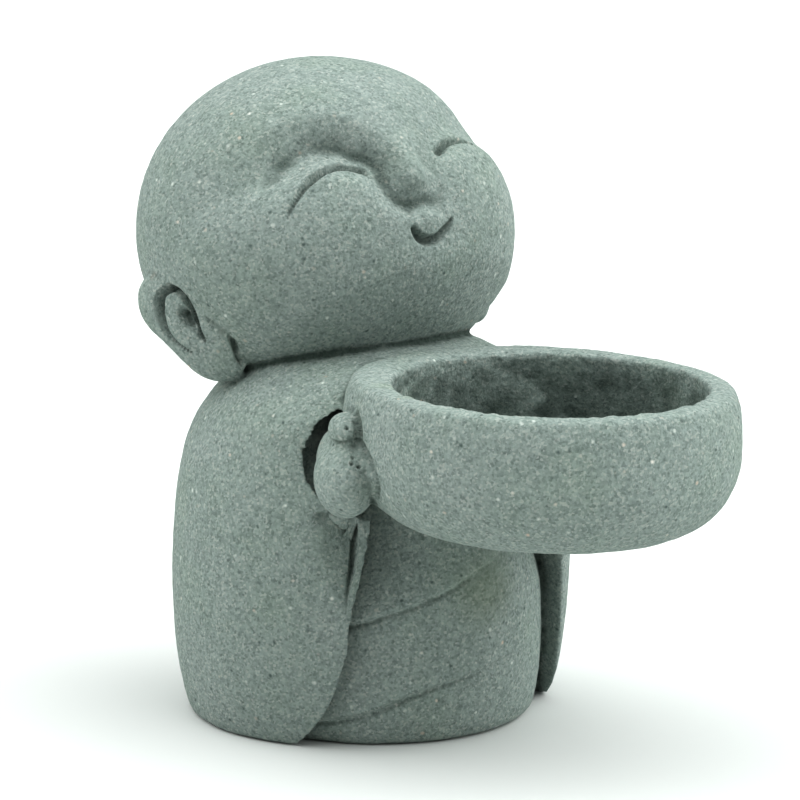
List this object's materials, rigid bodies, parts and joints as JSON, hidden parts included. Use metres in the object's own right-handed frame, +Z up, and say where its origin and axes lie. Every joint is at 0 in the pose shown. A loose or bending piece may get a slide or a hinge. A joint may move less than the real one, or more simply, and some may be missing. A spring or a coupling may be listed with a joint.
{
  "type": "stone jizo statue",
  "caption": "Small grey-green stone figure of a smiling child monk with its head tipped back, holding a round open bowl out in front in both hands",
  "frame": {"origin": "centre of the flat underside, on the surface that the figure stands on", "axes": "+Z up; the figure faces -Y, with the bowl in front of it; its right hand is on -X"},
  "size_m": [0.0782, 0.1321, 0.1199],
  "materials": {
    "stone": "matte, fine grained grey-green cast stone with pale and dark grains"
  },
  "bodies": {
    "root": {"jizo_statue": "stone"}
  },
  "joints": []
}
